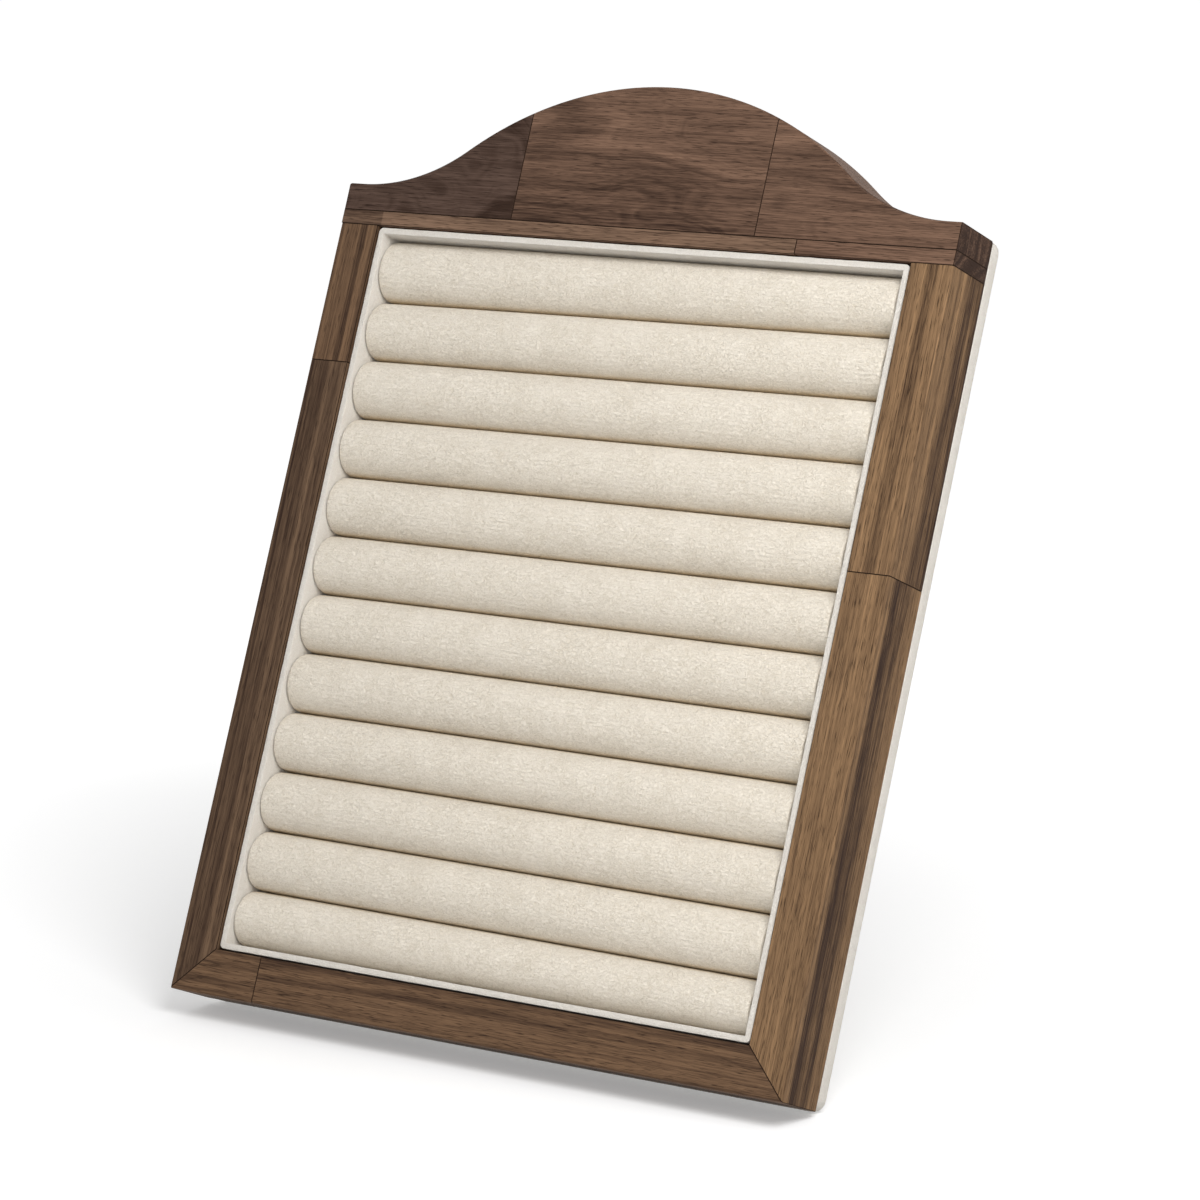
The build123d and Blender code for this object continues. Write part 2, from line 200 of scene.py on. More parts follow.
class BoardSizes(bpy.types.PropertyGroup):
    joint_softness: length(
        "Joint Softness", "Rounding of the walnut edges where staves meet", 0.18 * MM
    )
    skin: length(
        "Skin Thickness", "Thickness of the fabric on the back panel and the strut", 0.35 * MM
    )
    wall: length("Tray Wall", "Thickness of a fabric-covered tray wall", 2.0 * MM)
    lip_radius: length(
        "Lip Radius", "Rounding of the fabric over the tray's front edge", 0.85 * MM
    )
    lip_lumps: length(
        "Lip Lumps", "How far the fabric on the tray's lip stands up and down", 0.22 * MM
    )
    lip_lump_size: length("Lip Lump Size", "How long the lumps on the tray's lip are", 6 * MM)
    corner_radius: length("Tray Corner", "Outer corner of the tray", 1.6 * MM)
    roll_ease: length(
        "Roll Ease", "How much smaller each roll starts before its fabric fills out", 0.22 * MM
    )
    roll_swell: length(
        "Roll Swell", "The furthest that a point on a roll may move as it fills out", 0.2 * MM
    )
    roll_settling: bpy.props.FloatVectorProperty(
        name="Roll Settling",
        description="How far down the rolls sit at lower left and right, upper left and right",
        size=4,
        default=(0.84 * MM, 2.2 * MM, 1.2 * MM, -0.8 * MM),
        unit="LENGTH",
    )
    roll_end_radius: length("Roll End Radius", "Rounding round a roll's ends", 0.6 * MM)
    panel_corner: length("Panel Corner", "Corner of the back panel", 4.0 * MM)
    panel_edge: length("Panel Edge", "Rounding of the fabric over the panel's edges", 0.9 * MM)
    strut_top: length("Strut Top", "Width of the strut at its top", 46 * MM)
    strut_corner: length("Strut Corner", "Top corners of the strut", 5.0 * MM)
    strut_edge: length("Strut Edge", "Rounding of the fabric over the strut's edges", 0.7 * MM)
    strut_length: length(
        "Strut Length",
        "From the hinge pin to where the strut's sides stop spreading",
        167.43 * MM,
    )
    strut_spare: length(
        "Strut Spare", "Length below the strut's foot that is cut away level", 4 * MM
    )


class BoardColours(bpy.types.PropertyGroup):
    walnut_dark: colour("Dark Walnut", "Darkest bands", (0.036, 0.020, 0.014))
    walnut_brown: colour("Brown Walnut", "Brown staves", (0.215, 0.127, 0.072))
    walnut_dim: colour("Dim Walnut", "Dark staves", (0.195, 0.122, 0.074))
    walnut_dusk: colour("Dusky Walnut", "Left crown block", (0.130, 0.083, 0.064))
    walnut_warm: colour("Warm Walnut", "The right stile", (0.330, 0.198, 0.102))
    walnut_tan: colour("Tan Walnut", "Left crown strip", (0.290, 0.180, 0.118))
    walnut_red: colour("Reddish Walnut", "Crown blocks", (0.235, 0.138, 0.092))
    pore: colour("Pore", "Bottom of the wood's pores", (0.008, 0.005, 0.004))
    # Painted shade and bounce light, multiplied into the roll fabric deep between two rolls
    painted_groove_shade: colour("Painted Groove Shade Colour", "Tint of the fabric deep between rolls", (1.0, 0.9, 0.72))
    roll_tone: colour("Roll Fabric", "Cream nap of the rolls", (0.885, 0.812, 0.698))
    roll_shade: colour("Roll Shade", "Between the hairs of the nap", (0.665, 0.586, 0.466))
    tray_tone: colour("Tray Fabric", "Tray lip and back panel", (0.95, 0.90, 0.82))
    tray_shade: colour("Tray Shade", "Between the hairs of the tray's nap", (0.82, 0.75, 0.655))
    steel: colour("Steel", "Hinge, rivets and nails", (0.44, 0.43, 0.41))


class StudioSetup(bpy.types.PropertyGroup):
    camera_place: bpy.props.FloatVectorProperty(
        name="Camera Place",
        description="Where the camera stands",
        subtype="TRANSLATION",
        size=3,
        default=(0.80258, -1.19305, 0.38871),
    )
    camera_look: bpy.props.FloatVectorProperty(
        name="Camera Direction",
        description="The way the camera looks",
        subtype="DIRECTION",
        size=3,
        default=(-0.54922, 0.81762, -0.17276),
    )
    camera_roll: bpy.props.FloatProperty(
        name="Camera Roll",
        description="Turn of the camera about the way it looks",
        default=radians(0.284),
        subtype="ANGLE",
    )
    lens: bpy.props.FloatProperty(name="Lens", description="Focal length in mm", default=139.26)
    lamp_target: bpy.props.FloatVectorProperty(
        name="Lamp Target",
        description="The point that the lamps face",
        subtype="TRANSLATION",
        size=3,
        default=(0, 0, 0.15),
    )
    key_place: bpy.props.FloatVectorProperty(
        name="Key Place",
        description="Where the large lamp hangs",
        subtype="TRANSLATION",
        size=3,
        default=(0.54, -0.4, 0.7),
    )
    key_size: length("Key Size", "Width of the large lamp", 0.48)
    key_power: bpy.props.FloatProperty(
        name="Key Light",
        description="Power of the large lamp above the front right",
        default=5.45,
    )
    fill_place: bpy.props.FloatVectorProperty(
        name="Fill Place",
        description="Where the low lamp stands",
        subtype="TRANSLATION",
        size=3,
        default=(0.55, -1.1, 0.16),
    )
    fill_size: length("Fill Size", "Width of the low lamp", 0.7)
    fill_power: bpy.props.FloatProperty(
        name="Fill Light", description="Power of the low lamp in front", default=2.0
    )
    sky: bpy.props.FloatProperty(
        name="Sky", description="Even light from all round", default=0.515
    )
    floor_size: length("Floor Size", "Side of the floor", 30)
    floor_gap: length("Floor Gap", "How far the floor lies below the board", 0.2 * MM)
    floor_tone: colour("Floor Tone", "The floor's own colour", (0.8, 0.8, 0.8))
    floor_lift: bpy.props.FloatVectorProperty(
        name="Floor Lift",
        description="How much whiter the floor is seen near the board and far from it",
        size=2,
        default=(0.28, 0.6),
    )
    floor_lift_reach: bpy.props.FloatVectorProperty(
        name="Floor Lift Reach",
        description="Where the near and the far whiteness of the floor are reached",
        size=2,
        default=(0.1, 0.5),
        unit="LENGTH",
    )


def pick(piece=None):
    """Selects this piece alone, or nothing."""
    bpy.ops.object.select_all(action="DESELECT")
    if piece:
        piece.select_set(True)
        bpy.context.view_layer.objects.active = piece


def edit(piece):
    pick(piece)
    bpy.ops.object.mode_set(mode="EDIT")


def done():
    bpy.ops.object.mode_set(mode="OBJECT")


def choose_faces(piece, test):
    """In edit mode, selects the faces whose normal passes the test."""
    bpy.ops.mesh.select_mode(type="FACE")
    bpy.ops.mesh.select_all(action="DESELECT")
    mesh = bmesh.from_edit_mesh(piece.data)
    for face in mesh.faces:
        if test(face.normal):
            face.select_set(True)
    mesh.select_flush_mode()
    bmesh.update_edit_mesh(piece.data)


def choose_edges(piece, test):
    """In edit mode, selects the edges whose two ends pass the test."""
    bpy.ops.mesh.select_mode(type="EDGE")
    bpy.ops.mesh.select_all(action="DESELECT")
    mesh = bmesh.from_edit_mesh(piece.data)
    for edge in mesh.edges:
        if test(edge.verts[0].co, edge.verts[1].co):
            edge.select_set(True)
    mesh.select_flush_mode()
    bmesh.update_edit_mesh(piece.data)


def along(axis, shortest=0):
    """A test for edges that run along one axis and are longer than shortest."""

    def test(start, end):
        step = end - start
        return abs(step[axis]) > shortest and abs(step[axis]) > 0.999 * step.length

    return test


def slab(name, low, high):
    """A block between two corners, with its place in its mesh."""
    pick()
    bpy.ops.mesh.primitive_cube_add(size=1, location=(low + high) / 2, scale=high - low)
    piece = bpy.context.active_object
    piece.name = piece.data.name = name
    bpy.ops.object.transform_apply(location=True, rotation=True, scale=True)
    return piece


def shape(piece, kind, **values):
    """Adds a modifier and applies it."""
    pick(piece)
    modifier = piece.modifiers.new(kind.title(), kind)
    for key, value in values.items():
        setattr(modifier, key, value)
    bpy.ops.object.modifier_apply(modifier=modifier.name)


def smooth(piece, angle=35):
    pick(piece)
    bpy.ops.object.shade_smooth_by_angle(angle=radians(angle))


def settle(piece, place, material, slot, body, *nodes):
    """Leans a finished piece into place and gives it its finish and its body."""
    pick(piece)
    piece.matrix_world = place
    bpy.ops.object.transform_apply(location=True, rotation=True, scale=True)
    if piece.data.materials:
        piece.data.materials[0] = material
    else:
        piece.data.materials.append(material)
    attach(piece, body)
    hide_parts(*nodes)


def node(tree, kind, place, inputs=None, **settings):
    """Adds a shader node. Its inputs take a value or a link."""
    made = tree.nodes.new(kind)
    made.location = place
    for key, value in settings.items():
        setattr(made, key, value)
    for key, value in (inputs or {}).items():
        if isinstance(value, bpy.types.NodeSocket):
            tree.links.new(value, made.inputs[key])
        else:
            made.inputs[key].default_value = value
    return made


def maths(tree, operation, first, second, place, clamp=False):
    inputs = {0: first} if second is None else {0: first, 1: second}
    made = node(tree, "ShaderNodeMath", place, inputs, operation=operation, use_clamp=clamp)
    return made.outputs[0]


def swing(tree, value, gain, place):
    """Turns a value that lies about 0.5 into one about 0, times gain."""
    across, up = place
    value = maths(tree, "SUBTRACT", value, 0.5, place)
    return maths(tree, "MULTIPLY", value, gain, (across + 160, up))


def ramp(tree, value, start, end, place, low=0.0, high=1.0, kind="LINEAR"):
    """Rises from low to high while value goes from start to end."""
    limits = {"From Min": start, "From Max": end, "To Min": low, "To Max": high}
    made = node(
        tree, "ShaderNodeMapRange", place, {"Value": value, **limits}, interpolation_type=kind
    )
    return made.outputs["Result"]


def mixed(tree, factor, first, second, place, blend="MIX"):
    """Two colours mixed."""
    inputs = {"Factor": factor, 6: first, 7: second}
    made = node(tree, "ShaderNodeMix", place, inputs, data_type="RGBA", blend_type=blend)
    return made.outputs[2]


def stretched(tree, vector, scale, place):
    made = node(
        tree, "ShaderNodeVectorMath", place, {0: vector, 1: scale}, operation="MULTIPLY"
    )
    return made.outputs[0]


def distance(tree, vector, place):
    """How far a point lies from the origin."""
    made = node(tree, "ShaderNodeVectorMath", place, {0: vector}, operation="LENGTH")
    return made.outputs["Value"]


def noise_value(tree, place, inputs, scale, detail, roughness, dimensions="3D"):
    inputs = {**inputs, "Scale": scale, "Detail": detail, "Roughness": roughness}
    made = node(tree, "ShaderNodeTexNoise", place, inputs, noise_dimensions=dimensions)
    return made.outputs["Fac"]


def new_group(name, inputs, outputs):
    group = bpy.data.node_groups.new(name, "ShaderNodeTree")
    for sockets, in_out in ((inputs, "INPUT"), (outputs, "OUTPUT")):
        for label, kind in sockets.items():
            group.interface.new_socket(
                name=label, in_out=in_out, socket_type=f"NodeSocket{kind}"
            )
    start = node(group, "NodeGroupInput", (-1400, 0))
    end = node(group, "NodeGroupOutput", (1200, 0))
    return group, start.outputs, end.inputs


def walnut_group():
    """Sawn walnut. The vector is in mm, Z along the grain and the rings round the Z axis."""
    if "walnut_grain" in bpy.data.node_groups:
        return bpy.data.node_groups["walnut_grain"]
    group, given, out = new_group(
        "walnut_grain",
        {
            "Vector": "Vector",
            "Seed": "Float",
            "Ring Width": "Float",
            "Wander": "Float",
            "Figure": "Float",
            "Grain And Shade Band Radius": "Float",
            "Grain And Shade Band Width": "Float",
            "Grain And Shade Band Depth": "Float",
            "Contrast": "Float",
            "End Grain": "Float",
            "Dark Beyond": "Float",
            "Dark": "Color",
            "Light": "Color",
            "Pore": "Color",
        },
        {"Color": "Color", "Roughness": "Float", "Height": "Float"},
    )
    vector, seed = given["Vector"], given["Seed"]
    parts = node(group, "ShaderNodeSeparateXYZ", (-1300, 460), {0: vector}).outputs

    # Year rings that wander
    lengthways = maths(group, "MULTIPLY", parts["Z"], given["Figure"], (-1200, 460))
    long_grain = node(
        group,
        "ShaderNodeCombineXYZ",
        (-1100, 300),
        {"X": parts["X"], "Y": parts["Y"], "Z": lengthways},
    ).outputs["Vector"]
    inputs = {"Vector": long_grain, "W": seed}
    drift = noise_value(group, (-1000, 300), inputs, 0.035, 2.0, 0.45, "4D")
    drift = swing(group, drift, given["Wander"], (-800, 300))
    section = stretched(group, vector, (1, 1, 0), (-1200, 0))
    radius = distance(group, section, (-1000, 0))
    ring = maths(group, "ADD", radius, drift, (-480, 200))
    phase = maths(group, "DIVIDE", ring, given["Ring Width"], (-320, 300))
    phase = maths(group, "ADD", phase, seed, (-160, 300))
    bands = noise_value(group, (0, 300), {"W": phase}, 1.0, 4.0, 0.62, "1D")
    tone = swing(group, bands, given["Contrast"], (160, 300))
    tone = maths(group, "ADD", tone, 0.55, (480, 300))

    # A dark band at a given radius: grain figure in most staves, and painted shade on the right
    # stiles' outer side faces
    grain_and_shade_band = maths(group, "SUBTRACT", ring, given["Grain And Shade Band Radius"], (-320, 60))
    grain_and_shade_band = maths(group, "ABSOLUTE", grain_and_shade_band, None, (-160, 60))
    grain_and_shade_band = maths(group, "DIVIDE", grain_and_shade_band, given["Grain And Shade Band Width"], (0, 60))
    grain_and_shade_band = ramp(group, grain_and_shade_band, 1.0, 0.0, (160, 60), kind="SMOOTHSTEP")
    grain_and_shade_band = maths(group, "MULTIPLY", grain_and_shade_band, given["Grain And Shade Band Depth"], (320, 60))
    tone = maths(group, "SUBTRACT", tone, grain_and_shade_band, (640, 200))

    # Streaks and fibres along the grain
    inputs = {"Vector": stretched(group, vector, (1, 1, 0.03), (-1200, -260)), "W": seed}
    streaks = noise_value(group, (-1000, -260), inputs, 0.4, 4.0, 0.65, "4D")
    tone = maths(group, "ADD", tone, swing(group, streaks, 0.9, (-800, -260)), (800, 200))
    inputs = {"Vector": stretched(group, vector, (1, 1, 0.022), (-1200, -520)), "W": seed}
    fibres = noise_value(group, (-1000, -520), inputs, 2.6, 3.0, 0.75, "4D")

    # Darker end grain, and a darker end of the stave
    end_grain = ramp(group, given["End Grain"], 0.7, 0.9, (480, -120), high=0.45)
    tone = maths(group, "SUBTRACT", tone, end_grain, (800, 130))
    beyond = maths(group, "SUBTRACT", parts["Z"], given["Dark Beyond"], (320, -300))
    beyond = ramp(group, beyond, 0.0, 0.4, (480, -300), high=0.3)
    tone = maths(group, "SUBTRACT", tone, beyond, (800, 90))
    fine = swing(group, fibres, 1.6, (-800, -520))
    tone = maths(group, "ADD", tone, fine, (800, 60), clamp=True)
    wood = mixed(group, tone, given["Dark"], given["Light"], (960, 200))

    # Open pores
    inputs = {"Vector": stretched(group, vector, (1, 1, 0.045), (-1200, -780)), "W": seed}
    pores = noise_value(group, (-1000, -780), inputs, 4.8, 1.0, 0.4, "4D")
    pores = ramp(group, pores, 0.57, 0.70, (-800, -780))
    pore_depth = maths(group, "MULTIPLY", pores, 0.8, (-640, -780))
    dark_pore = mixed(group, 0.55, given["Dark"], given["Pore"], (800, -300))
    wood = mixed(group, pore_depth, wood, dark_pore, (1080, 0))
    rough = maths(group, "MULTIPLY", pores, 0.2, (960, -260))
    rough = maths(group, "ADD", rough, 0.5, (1080, -260))
    height = maths(group, "MULTIPLY", fibres, 0.3, (960, -420))
    height = maths(group, "SUBTRACT", height, pores, (1080, -420))
    group.links.new(wood, out["Color"])
    group.links.new(rough, out["Roughness"])
    group.links.new(height, out["Height"])
    return group


def nap_group():
    """Short-haired fabric over a faint weave. The vector is in mm, X along the rolls, Z up."""
    if "fabric_nap" in bpy.data.node_groups:
        return bpy.data.node_groups["fabric_nap"]
    group, given, out = new_group(
        "fabric_nap",
        {
            "Vector": "Vector",
            "Tone": "Color",
            "Shade": "Color",
            "Hair": "Float",
            "Patches": "Float",
            "Weave": "Float",
            "Painted Groove Shade": "Float",
            "Painted Groove Shade Colour": "Color",
        },
        {"Color": "Color", "Height": "Float"},
    )
    vector = given["Vector"]
    hair_vector = stretched(group, vector, (0.7, 1, 1), (-1200, 300))
    inputs = {"Vector": hair_vector, "Distortion": 1.4}
    hairs = noise_value(group, (-1000, 300), inputs, given["Hair"], 2.0, 0.8)
    patches = noise_value(group, (-1000, 60), {"Vector": vector}, given["Patches"], 3.0, 0.6)

    # The weave shows in places
    threads = node(
        group,
        "ShaderNodeTexWave",
        (-1000, -200),
        {
            "Vector": stretched(group, vector, (0.12, 1, 1), (-1200, -200)),
            "Scale": 0.24,
            "Distortion": 1.0,
            "Detail": 2.0,
            "Detail Scale": 1.2,
        },
        wave_type="BANDS",
        bands_direction="Z",
        wave_profile="SIN",
    ).outputs["Fac"]
    shown = ramp(group, patches, 0.42, 0.62, (-800, -60))
    threads = swing(group, threads, shown, (-800, -260))
    threads = maths(group, "MULTIPLY", threads, given["Weave"], (-480, -260))

    tone = swing(group, hairs, 3.2, (-640, 300))
    broad = swing(group, patches, 0.9, (-480, 60))
    tone = maths(group, "ADD", tone, broad, (-160, 200))
    tone = maths(group, "ADD", tone, threads, (0, 200))
    tone = maths(group, "ADD", tone, 0.7, (160, 200), clamp=True)
    fabric = mixed(group, tone, given["Shade"], given["Tone"], (480, 200))

    # Painted shade and bounce light: darker and warmer deep between two rolls, from 6.5 mm behind
    # the board's face
    depth = node(group, "ShaderNodeSeparateXYZ", (0, -60), {0: vector}).outputs["Y"]
    painted_groove_shade = ramp(group, depth, 6.5, 10.5, (160, -60), kind="SMOOTHSTEP")
    painted_groove_shade = maths(group, "MULTIPLY", painted_groove_shade, given["Painted Groove Shade"], (320, -60))
    fabric = mixed(group, painted_groove_shade, fabric, given["Painted Groove Shade Colour"], (640, 120), "MULTIPLY")
    height = maths(group, "ADD", hairs, threads, (480, -200))
    group.links.new(fabric, out["Color"])
    group.links.new(height, out["Height"])
    return group


def fleck_group():
    """Two mixed tones in small flecks, for boards, foam, plain wood and metal."""
    if "flecks" in bpy.data.node_groups:
        return bpy.data.node_groups["flecks"]
    group, given, out = new_group(
        "flecks",
        {
            "Vector": "Vector",
            "Scale": "Float",
            "First": "Color",
            "Second": "Color",
            "Roughness": "Float",
        },
        {"Color": "Color", "Roughness": "Float", "Height": "Float"},
    )
    inputs = {"Vector": given["Vector"]}
    flecks = noise_value(group, (-600, 100), inputs, given["Scale"], 5.0, 0.65)
    tone = mixed(group, flecks, given["First"], given["Second"], (200, 100))
    rough = swing(group, flecks, 0.3, (-200, -200))
    rough = maths(group, "ADD", rough, given["Roughness"], (200, -200), clamp=True)
    group.links.new(tone, out["Color"])
    group.links.new(rough, out["Roughness"])
    group.links.new(flecks, out["Height"])
    return group


def new_material(name):
    material = bpy.data.materials.new(name)
    material.use_nodes = True
    tree = material.node_tree
    coordinates = node(tree, "ShaderNodeTexCoord", (-1100, 0))
    return material, tree, tree.nodes["Principled BSDF"], coordinates.outputs


def on_board(tree, vector, turn, origin, place=BOARD):
    """Object coordinates turned upright, in mm from origin, then turned about the depth axis."""
    rotation = place.to_3x3().inverted()
    turned = Euler((0, turn, 0)).to_matrix()
    middle = turned @ (Vector(origin) * MM + rotation @ place.translation)
    mapping = node(
        tree,
        "ShaderNodeMapping",
        (-900, 0),
        {
            "Vector": vector,
            "Location": -middle / MM,
            "Rotation": (turned @ rotation).to_euler(),
            "Scale": (1 / MM,) * 3,
        },
    )
    return mapping.outputs["Vector"]


def effect(tree, group, vector, values):
    """Adds a shared effect with its vector and its values."""
    made = node(tree, "ShaderNodeGroup", (-600, 0), node_tree=group)
    tree.links.new(vector, made.inputs["Vector"])
    for label, value in values.items():
        made.inputs[label].default_value = value
    return made


def finish(tree, shader, outputs, gloss, bump, relief):
    """Links an effect's outputs to a shader. bump is its strength and relief its height."""
    tree.links.new(outputs["Color"], shader.inputs["Base Color"])
    if "Roughness" in outputs:
        tree.links.new(outputs["Roughness"], shader.inputs["Roughness"])
    shader.inputs["Specular IOR Level"].default_value = gloss
    raised = node(
        tree,
        "ShaderNodeBump",
        (-300, -400),
        {"Strength": bump, "Distance": relief, "Height": outputs["Height"]},
    )
    tree.links.new(raised.outputs["Normal"], shader.inputs["Normal"])


def walnut_material(stave, seed):
    """Walnut for one stave, with the grain along its length."""
    colours = bpy.context.scene.board_colours
    plank = STAVES[stave]
    light = getattr(colours, f"walnut_{plank['tone']}")
    material, tree, shader, coordinates = new_material(f"walnut_{stave}")
    upright = "stile" in stave
    width_or_height, depth = plank["pith"]
    if upright:
        turn, origin = 0, (width_or_height, depth, 0)
    else:
        turn, origin = radians(90), (0, depth, width_or_height)
    grain = effect(
        tree,
        walnut_group(),
        on_board(tree, coordinates["Object"], turn, origin),
        {
            "Seed": seed,
            "Ring Width": plank["ring"],
            "Wander": plank["wander"],
            "Figure": plank["figure"],
            "Grain And Shade Band Radius": plank["grain_and_shade_band"],
            "Grain And Shade Band Width": plank["band"],
            "Grain And Shade Band Depth": plank["depth"],
            "Contrast": plank["contrast"],
            "Dark Beyond": plank.get("dark_beyond", NO_DARK_END),
            "Dark": (*colours.walnut_dark, 1),
            "Light": (*light, 1),
            "Pore": (*colours.pore, 1),
        },
    )
    if not upright:
        facing = node(tree, "ShaderNodeSeparateXYZ", (-900, -300), {0: coordinates["Normal"]})
        end_grain = maths(tree, "ABSOLUTE", facing.outputs["X"], None, (-740, -300))
        tree.links.new(end_grain, grain.inputs["End Grain"])
    finish(tree, shader, grain.outputs, MATT, 0.35, 0.1 * MM)
    return material


def fabric_material(name, tone, shade, hair, weave, painted_groove_shade=0.0, place=BOARD):
    """Nap fabric lying along the board or the strut."""
    if name in bpy.data.materials:
        return bpy.data.materials[name]
    material, tree, shader, coordinates = new_material(name)
    nap = effect(
        tree,
        nap_group(),
        on_board(tree, coordinates["Object"], 0, (0, 0, 0), place),
        {
            "Tone": (*tone, 1),
            "Shade": (*shade, 1),
            "Hair": hair,
            "Patches": NAP_PATCHES,
            "Weave": weave,
            # How strongly the painted shade and bounce light darken the fabric deep between rolls,
            # and their colour
            "Painted Groove Shade": painted_groove_shade,
            "Painted Groove Shade Colour": (*bpy.context.scene.board_colours.painted_groove_shade, 1),
        },
    )
    shader.inputs["Roughness"].default_value = 0.95
    shader.inputs["Sheen Weight"].default_value = 0.25
    shader.inputs["Sheen Roughness"].default_value = 0.6
    finish(tree, shader, nap.outputs, 0.1, 1.0, 0.6 * MM)
    return material


def plain_material(name, first, second, scale, rough, metal=0.0, gloss=0.5):
    """A flecked finish for boards, foam, plain wood and metal."""
    if name in bpy.data.materials:
        return bpy.data.materials[name]
    material, tree, shader, coordinates = new_material(name)
    flecks = effect(
        tree,
        fleck_group(),
        on_board(tree, coordinates["Object"], 0, (0, 0, 0)),
        {
            "Scale": scale,
            "First": (*first, 1),
            "Second": (*second, 1),
            "Roughness": rough,
        },
    )
    shader.inputs["Metallic"].default_value = metal
    finish(tree, shader, flecks.outputs, gloss, 0.2, 0.05 * MM)
    return material


def refinish(material, *names):
    """Gives CAD nodes that stay a finish of their own."""
    for name in names:
        for slot in NODES[name].material_slots:
            slot.material = material


class RINGBOARD_OT_frame(bpy.types.Operator):
    """Walnut staves and crown blocks with softened joints, each with grain of its own"""

    bl_idname = "ringboard.frame"
    bl_label = "Walnut Frame"

    def execute(self, context):
        sizes = context.scene.board_sizes
        # Dark strips on the bevelled edges: joint lines where staves meet, and painted shadow along
        # the sight edge at the tray
        joint_and_gap_shadow = plain_material(
            "glue_line", (0.014, 0.008, 0.005), (0.032, 0.019, 0.012), 1.5, 0.8, gloss=MATT
        )
        for number, stave in enumerate(STAVES):
            pick(NODES[stave])
            bpy.ops.object.duplicate()
            piece = context.active_object
            piece.name = piece.data.name = f"walnut_{stave}"
            piece.parent = None
            del piece["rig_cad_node"]
            edit(piece)
            bpy.ops.mesh.select_all(action="SELECT")
            bpy.ops.mesh.remove_doubles(threshold=0.001 * MM)
            bpy.ops.mesh.dissolve_limited(angle_limit=radians(0.5))
            done()
            # The bevels keep the second slot: dark joint lines where staves meet, and a painted
            # shadow along the sight edge against the tray. The first slot gets the stave's walnut
            piece.data.materials.clear()
            piece.data.materials.append(joint_and_gap_shadow)
            piece.data.materials.append(joint_and_gap_shadow)
            shape(
                piece,
                "BEVEL",
                width=sizes.joint_softness,
                segments=2,
                limit_method="ANGLE",
                angle_limit=radians(50),
                material=1,
                use_clamp_overlap=False,
            )
            smooth(piece)
            shape(piece, "WEIGHTED_NORMAL", keep_sharp=True)
            walnut = walnut_material(stave, 3.7 * number + 1.3)
            slot = "walnut_warm" if "right_stile" in stave else "walnut_dark"
            settle(piece, Matrix.Identity(4), walnut, slot, "board", stave)
        return {"FINISHED"}


def lies_on_rim(start, end):
    """Whether an edge follows a wall's front edge, and isn't one of the tray's mitre lines."""
    step = end - start
    return abs(abs(step.x) - abs(step.z)) > 0.3 * step.length or step.length < 1.2 * MM


class RINGBOARD_OT_tray(bpy.types.Operator):
    """The tray's fabric skin: four walls with a rounded, slightly lumpy lip"""

    bl_idname = "ringboard.tray"
    bl_label = "Tray Skin"

    def execute(self, context):
        sizes = context.scene.board_sizes
        colours = context.scene.board_colours
        low, high = box_on(BOARD, "tray_cover")
        piece = slab("tray_skin", low, high)
        edit(piece)
        choose_faces(piece, lambda normal: abs(normal.y) > 0.9)
        bpy.ops.mesh.inset(thickness=sizes.wall, depth=0)
        bpy.ops.mesh.bridge_edge_loops()

        def outer_corner(start, end):
            at_side = min(start.x - low.x, high.x - start.x) < TOUCH
            at_end = min(start.z - low.z, high.z - start.z) < TOUCH
            return along(1)(start, end) and at_side and at_end

        def front_rim(start, end):
            return max(start.y, end.y) < low.y + TOUCH and lies_on_rim(start, end)

        choose_edges(piece, outer_corner)
        bpy.ops.mesh.bevel(offset=sizes.corner_radius, segments=6, affect="EDGES")
        choose_edges(piece, front_rim)
        bpy.ops.mesh.bevel(
            offset=sizes.lip_radius, segments=4, affect="EDGES", clamp_overlap=True
        )
        bpy.ops.mesh.select_all(action="SELECT")
        bpy.ops.mesh.dissolve_degenerate(threshold=TOUCH)
        choose_edges(piece, along(0, LONG_EDGE))
        bpy.ops.mesh.subdivide(number_cuts=TRAY_CUTS_ACROSS)
        choose_edges(piece, along(2, LONG_EDGE))
        bpy.ops.mesh.subdivide(number_cuts=TRAY_CUTS_UP)
        done()
        lip = piece.vertex_groups.new(name="lip")
        for vertex in piece.data.vertices:
            fade = 1 - (vertex.co.y - low.y) / (2.5 * sizes.lip_radius)
            if fade > 0:
                lip.add([vertex.index], fade, "REPLACE")
        lumps = bpy.data.textures.new("lip_lumps", "CLOUDS")
        lumps.noise_scale = sizes.lip_lump_size
        lumps.noise_depth = 2
        shape(
            piece,
            "DISPLACE",
            texture=lumps,
            texture_coords="LOCAL",
            strength=sizes.lip_lumps,
            mid_level=0.5,
            vertex_group="lip",
        )
        smooth(piece, 50)
        cloth = fabric_material("tray_nap", colours.tray_tone, colours.tray_shade, **TRAY_CLOTH)
        settle(piece, BOARD, cloth, "tray_fabric", "board", "tray_cover")
        return {"FINISHED"}


